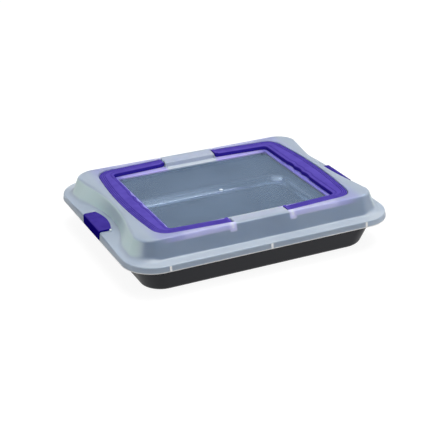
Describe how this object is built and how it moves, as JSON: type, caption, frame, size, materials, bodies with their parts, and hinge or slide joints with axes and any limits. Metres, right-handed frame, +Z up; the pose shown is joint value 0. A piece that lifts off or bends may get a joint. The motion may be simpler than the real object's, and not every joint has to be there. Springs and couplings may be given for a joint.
{
  "type": "cake pan with lid",
  "caption": "Rectangular baking pan with a frosted clip-on carrying lid, fold-up U handles recessed in its top and a locking clip at each short side.",
  "frame": {"origin": "bottom centre of the pan, which is also the bottom centre of the whole object", "axes": "+X along the long side, to the right when seen from the front; +Y to the back; +Z up"},
  "size_m": [0.405, 0.325, 0.08],
  "materials": {
    "pan": "satin non-stick coating",
    "lid": "frosted, translucent",
    "handles": "satin",
    "clips": "satin"
  },
  "bodies": {
    "base": {"pan": "pan", "lid": "lid"},
    "left_handle": {"left_handle": "handles"},
    "right_handle": {"right_handle": "handles"},
    "left_clip": {"left_clip": "clips"},
    "right_clip": {"right_clip": "clips"}
  },
  "joints": [
    {"name": "left_handle_fold", "type": "hinge", "parent": "base", "child": "left_handle", "pos_m": [-0.046, 0, 0.0765], "axis": [0, 1, 0], "range_deg": [0, 106]},
    {"name": "right_handle_fold", "type": "hinge", "parent": "base", "child": "right_handle", "pos_m": [0.046, 0, 0.0765], "axis": [0, -1, 0], "range_deg": [0, 106]},
    {"name": "left_clip_pivot", "type": "hinge", "parent": "base", "child": "left_clip", "pos_m": [-0.1855, 0, 0.0577], "axis": [0, 1, 0], "range_deg": [0, 75]},
    {"name": "right_clip_pivot", "type": "hinge", "parent": "base", "child": "right_clip", "pos_m": [0.1855, 0, 0.0577], "axis": [0, -1, 0], "range_deg": [0, 75]}
  ]
}
